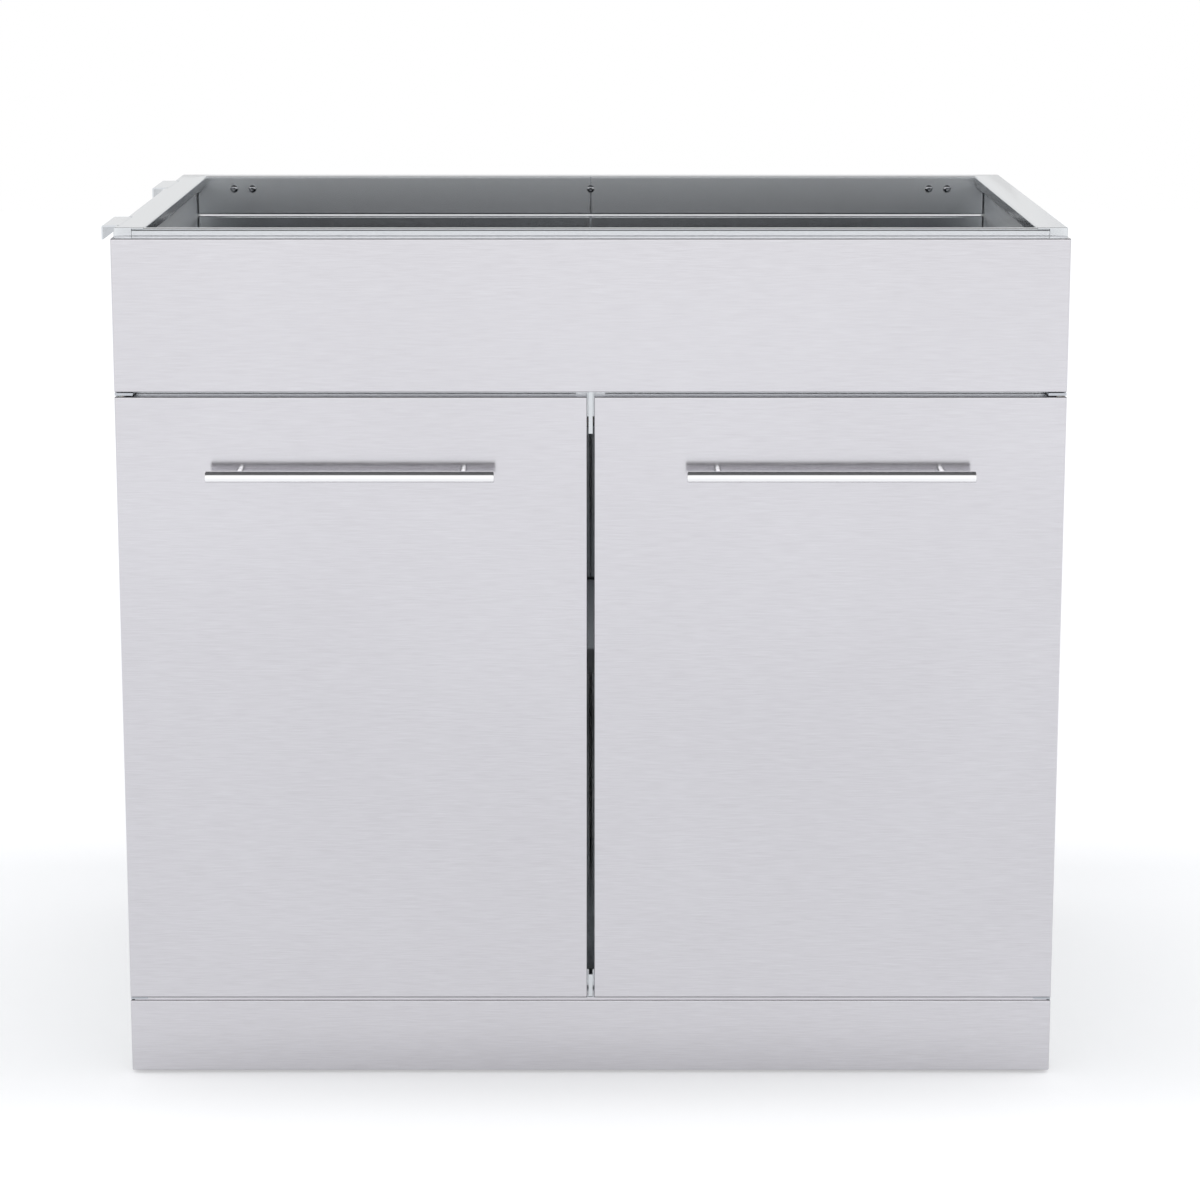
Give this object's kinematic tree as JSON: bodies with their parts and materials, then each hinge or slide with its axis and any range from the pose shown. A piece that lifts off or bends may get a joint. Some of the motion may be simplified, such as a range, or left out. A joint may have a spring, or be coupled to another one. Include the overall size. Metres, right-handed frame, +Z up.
{
  "type": "double door cupboard",
  "caption": "Stainless sheet base cupboard with open top, fixed fascia panel, a pair of hinged doors with bar handles, plinth, inner shelf and joining hooks.",
  "frame": {"origin": "centre of the bounding box at floor level, under the cabinet", "axes": "+X to the right seen from the front, +Y from the doors to the back, +Z up"},
  "size_m": [0.914, 0.6014, 0.83],
  "materials": {
    "brushed_stainless": "fine satin stainless sheet, folded, with soft wide reflections",
    "cold_rolled_stainless": "plain cold rolled stainless sheet, smooth grey with faint long rolling lines",
    "polished_stainless": "mirror polished stainless round bar",
    "zinc_plated_steel": "bright zinc plate, slightly mottled",
    "nylon": "moulded natural nylon"
  },
  "bodies": {
    "cabinet": {"side_panel_left": "cold_rolled_stainless", "side_panel_right": "cold_rolled_stainless", "side_liner_left": "cold_rolled_stainless", "side_liner_right": "cold_rolled_stainless", "back_top_rail_left": "cold_rolled_stainless", "back_top_rail_right": "cold_rolled_stainless", "back_panel_left": "cold_rolled_stainless", "back_panel_right": "cold_rolled_stainless", "front_top_rail": "cold_rolled_stainless", "front_mid_rail": "cold_rolled_stainless", "floor_panel": "cold_rolled_stainless", "plinth_panel": "brushed_stainless", "fascia_panel": "brushed_stainless", "plinth_bracket_left": "zinc_plated_steel", "plinth_bracket_right": "zinc_plated_steel", "fascia_bracket_left": "zinc_plated_steel", "fascia_bracket_right": "zinc_plated_steel", "pivot_bracket_top_left": "zinc_plated_steel", "pivot_pin_top_left": "zinc_plated_steel", "pivot_bracket_bottom_left": "zinc_plated_steel", "pivot_pin_bottom_left": "zinc_plated_steel", "pivot_bracket_top_right": "zinc_plated_steel", "pivot_pin_top_right": "zinc_plated_steel", "pivot_bracket_bottom_right": "zinc_plated_steel", "pivot_pin_bottom_right": "zinc_plated_steel", "door_stop_top": "cold_rolled_stainless", "door_stop_bottom": "cold_rolled_stainless", "magnetic_catch": "nylon", "shelf": "cold_rolled_stainless", "shelf_support_front_left": "nylon", "shelf_support_rear_left": "nylon", "shelf_support_front_right": "nylon", "shelf_support_rear_right": "nylon", "joining_hook_front": "cold_rolled_stainless", "joining_hook_rear": "cold_rolled_stainless", "foot_bracket_front_left": "zinc_plated_steel", "foot_bracket_rear_left": "zinc_plated_steel", "foot_bracket_front_right": "zinc_plated_steel", "foot_bracket_rear_right": "zinc_plated_steel"},
    "door_left": {"door_skin_left": "brushed_stainless", "door_liner_left": "cold_rolled_stainless", "strike_plate_left": "zinc_plated_steel", "handle_bar_left": "polished_stainless", "handle_post_inner_left": "polished_stainless", "handle_post_outer_left": "polished_stainless", "pivot_bush_top_left": "nylon", "pivot_bush_bottom_left": "nylon"},
    "door_right": {"door_skin_right": "brushed_stainless", "door_liner_right": "cold_rolled_stainless", "strike_plate_right": "zinc_plated_steel", "handle_bar_right": "polished_stainless", "handle_post_inner_right": "polished_stainless", "handle_post_outer_right": "polished_stainless", "pivot_bush_top_right": "nylon", "pivot_bush_bottom_right": "nylon"},
    "foot_front_left": {"levelling_foot_front_left": "zinc_plated_steel"},
    "foot_rear_left": {"levelling_foot_rear_left": "zinc_plated_steel"},
    "foot_front_right": {"levelling_foot_front_right": "zinc_plated_steel"},
    "foot_rear_right": {"levelling_foot_rear_right": "zinc_plated_steel"}
  },
  "joints": [
    {"name": "door_left_hinge", "type": "hinge", "parent": "cabinet", "child": "door_left", "pos_m": [-0.437, -0.26325, 0.375], "axis": [0, 0, -1], "range_deg": [0, 110]},
    {"name": "door_right_hinge", "type": "hinge", "parent": "cabinet", "child": "door_right", "pos_m": [0.451, -0.26325, 0.375], "axis": [0, 0, 1], "range_deg": [0, 110]},
    {"name": "foot_front_left_screw", "type": "slide", "parent": "cabinet", "child": "foot_front_left", "axis": [0, 0, 1], "range_m": [-0.02, 0]},
    {"name": "foot_rear_left_screw", "type": "slide", "parent": "cabinet", "child": "foot_rear_left", "axis": [0, 0, 1], "range_m": [-0.02, 0]},
    {"name": "foot_front_right_screw", "type": "slide", "parent": "cabinet", "child": "foot_front_right", "axis": [0, 0, 1], "range_m": [-0.02, 0]},
    {"name": "foot_rear_right_screw", "type": "slide", "parent": "cabinet", "child": "foot_rear_right", "axis": [0, 0, 1], "range_m": [-0.02, 0]}
  ]
}
